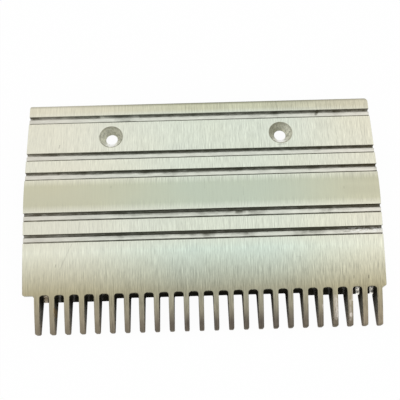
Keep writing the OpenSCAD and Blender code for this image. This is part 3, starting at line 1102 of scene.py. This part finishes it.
# Pale reflections in the inner corners of the outer gaps. They lean outwards as they go down, as the
# cast walls do, and GLEAM_Z is the height at which x holds
Gleam = namedtuple("Gleam", "x half_width strength")
GLEAMS = (
    Gleam(-91.2, 1.8, 0.6), Gleam(-83.3, 0.9, 0.2), Gleam(-75.2, 0.8, 0.1), Gleam(-66.6, 0.8, 0.06),
    Gleam(-58.8, 0.8, 0.045), Gleam(63.2, 0.9, 0.05), Gleam(71.6, 0.9, 0.06), Gleam(80.1, 0.9, 0.1),
    Gleam(88.1, 1.4, 1.3), Gleam(96.1, 1.35, 1.4),
)
GLEAM_LEAN, GLEAM_Z = 0.22, 6


def gap_gleam(nodes, place):
    """How bright the reflections are, from 0 to 1."""
    lean = nodes.times(nodes.minus(place.z, GLEAM_Z), GLEAM_LEAN)
    upright_x = nodes.plus(place.x, nodes.times(nodes.math("SIGN", place.x), lean))
    brightness = 0.0
    for gleam in GLEAMS:
        hump = nodes.hump(upright_x, gleam.x, gleam.half_width)
        brightness = nodes.plus(brightness, nodes.times(hump, gleam.strength))
    near_root = nodes.fade(place.station, ROOT_S + 3.2, ROOT_S + 2.2)
    at_root = nodes.times(near_root, nodes.fade(place.z, 12, 9))
    return nodes.limit(nodes.times(brightness, at_root))


def gap_wall():
    """Walls of the gaps between the teeth, with painted shade: darkest at the roots, paler towards the
    tips.
    """
    nodes = material_nodes("gap_wall")
    place = nodes.place()
    smear = nodes.noise(place, (0.3, 0.15, 0.5), detail=4, roughness=0.6)
    middle = nodes.fade(place.station, ROOT_S + 2, ROOT_S + 9)
    colour = nodes.mix(middle, GAP_ROOT, GAP_MIDDLE)
    colour = nodes.mix(nodes.fade(place.station, ROOT_S + 9, TIP_S), colour, GAP_TIP)
    colour = nodes.tint(colour, nodes.plus(1.0, nodes.times(smear, 1.4)))
    gleam = gap_gleam(nodes, place)
    gleam_colour = nodes.mix(nodes.fade(place.x, -84, -90), GLEAM_PALE, GLEAM_WARM)
    colour = nodes.mix(gleam, colour, gleam_colour)
    colour = stained(nodes, place, colour, 0.8)
    roughness = nodes.minus(0.7, nodes.times(gleam, 0.4))
    smoothness = nodes.limit(nodes.times(gleam, 3.0))
    relief = nodes.times(smear, nodes.minus(1.0, smoothness))
    return nodes.metal(colour, roughness, relief, 0.1, gleam, 0.0)


MATERIALS = {
    "top": brushed_top(), "side": milled_side(), "cast": cast_underside(),
    "sink": turned_sink(), "gap": gap_wall(),
}


# Studio

WHITE, FLOOR_COLOUR = (1, 1, 1, 1), (0.94, 0.94, 0.94, 1)
FLOOR_GLOW, WORLD_LEVEL = 0.96, 0.9
# Focal length and sensor, then the place and the angles in degrees
CAMERA_LENS, CAMERA_SENSOR = 53.02, 36
CAMERA_PLACE, CAMERA_ANGLES = (-4.01, -115.04, 342.82), (20.432, 0.122, -1.658)


def floor_material():
    """Almost white to the camera and in reflections, with the object's soft shadow on it."""
    nodes = material_nodes("studio_floor")
    rays = nodes.add("LightPath").outputs
    seen = nodes.math("MAXIMUM", rays["Is Camera Ray"], rays["Is Glossy Ray"])
    seen = nodes.math("MAXIMUM", seen, rays["Is Transmission Ray"])
    plain = nodes.add("BsdfDiffuse", {"Color": FLOOR_COLOUR}).outputs[0]
    glow = nodes.add("Emission", {"Color": WHITE, "Strength": 1.0}).outputs[0]
    both = nodes.add("MixShader", {0: nodes.times(seen, FLOOR_GLOW), 1: plain, 2: glow})
    return nodes.material(both.outputs[0])


def make_floor(half):
    mesh = bpy.data.meshes.new("studio_floor")
    corners = [(-half, -half, 0), (half, -half, 0), (half, half, 0), (-half, half, 0)]
    mesh.from_pydata(corners, [], [(0, 1, 2, 3)])
    mesh.materials.append(floor_material())
    floor = new_object("studio_floor", mesh)


def make_world():
    """Even light from all sides. The camera sees it as plain white."""
    world = bpy.data.worlds.new("studio")
    bpy.context.scene.world = world
    nodes = Nodes(world)
    seen = nodes.add("LightPath").outputs["Is Camera Ray"]
    strength = nodes.fade(seen, 0.0, 1.0, WORLD_LEVEL, 1.0)
    background = nodes.add("Background", {"Color": WHITE, "Strength": strength})
    nodes.add("OutputWorld", {"Surface": background.outputs[0]})


def make_light(name, place, size, watts):
    """Round lamp that points at the object."""
    data = bpy.data.lights.new(name, "AREA")
    data.shape = "DISK"
    data.size = size
    data.energy = watts
    lamp = new_object(name, data)
    lamp.location = place
    lamp.rotation_euler = (-Vector(place)).to_track_quat("-Z", "Y").to_euler()


def make_camera():
    """Camera fitted to the edges, grooves, holes and teeth in the photograph."""
    data = bpy.data.cameras.new("camera")
    data.sensor_width = CAMERA_SENSOR
    data.lens = CAMERA_LENS
    data.clip_start, data.clip_end = 0.01, 20
    camera = new_object("camera", data)
    camera.location = Vector(CAMERA_PLACE) * MM
    camera.rotation_euler = Euler([math.radians(angle) for angle in CAMERA_ANGLES], "XYZ")
    bpy.context.scene.camera = camera


make_mounting_deck()
make_bend_band()
make_front_deck()
make_root_beam()
make_shoulder()
for rib in range(1, RIB_COUNT + 1):
    make_rib(rib)
for tooth in range(1, TOOTH_COUNT + 1):
    make_tooth(tooth)
make_floor(half=3.0)
make_world()
make_light("key", (0.1, 0.7, 1.3), size=1.6, watts=1.0)
make_light("fill", (0.5, -0.3, 1.2), size=1.2, watts=0.8)
make_camera()
bpy.context.scene.view_settings.view_transform = "Standard"
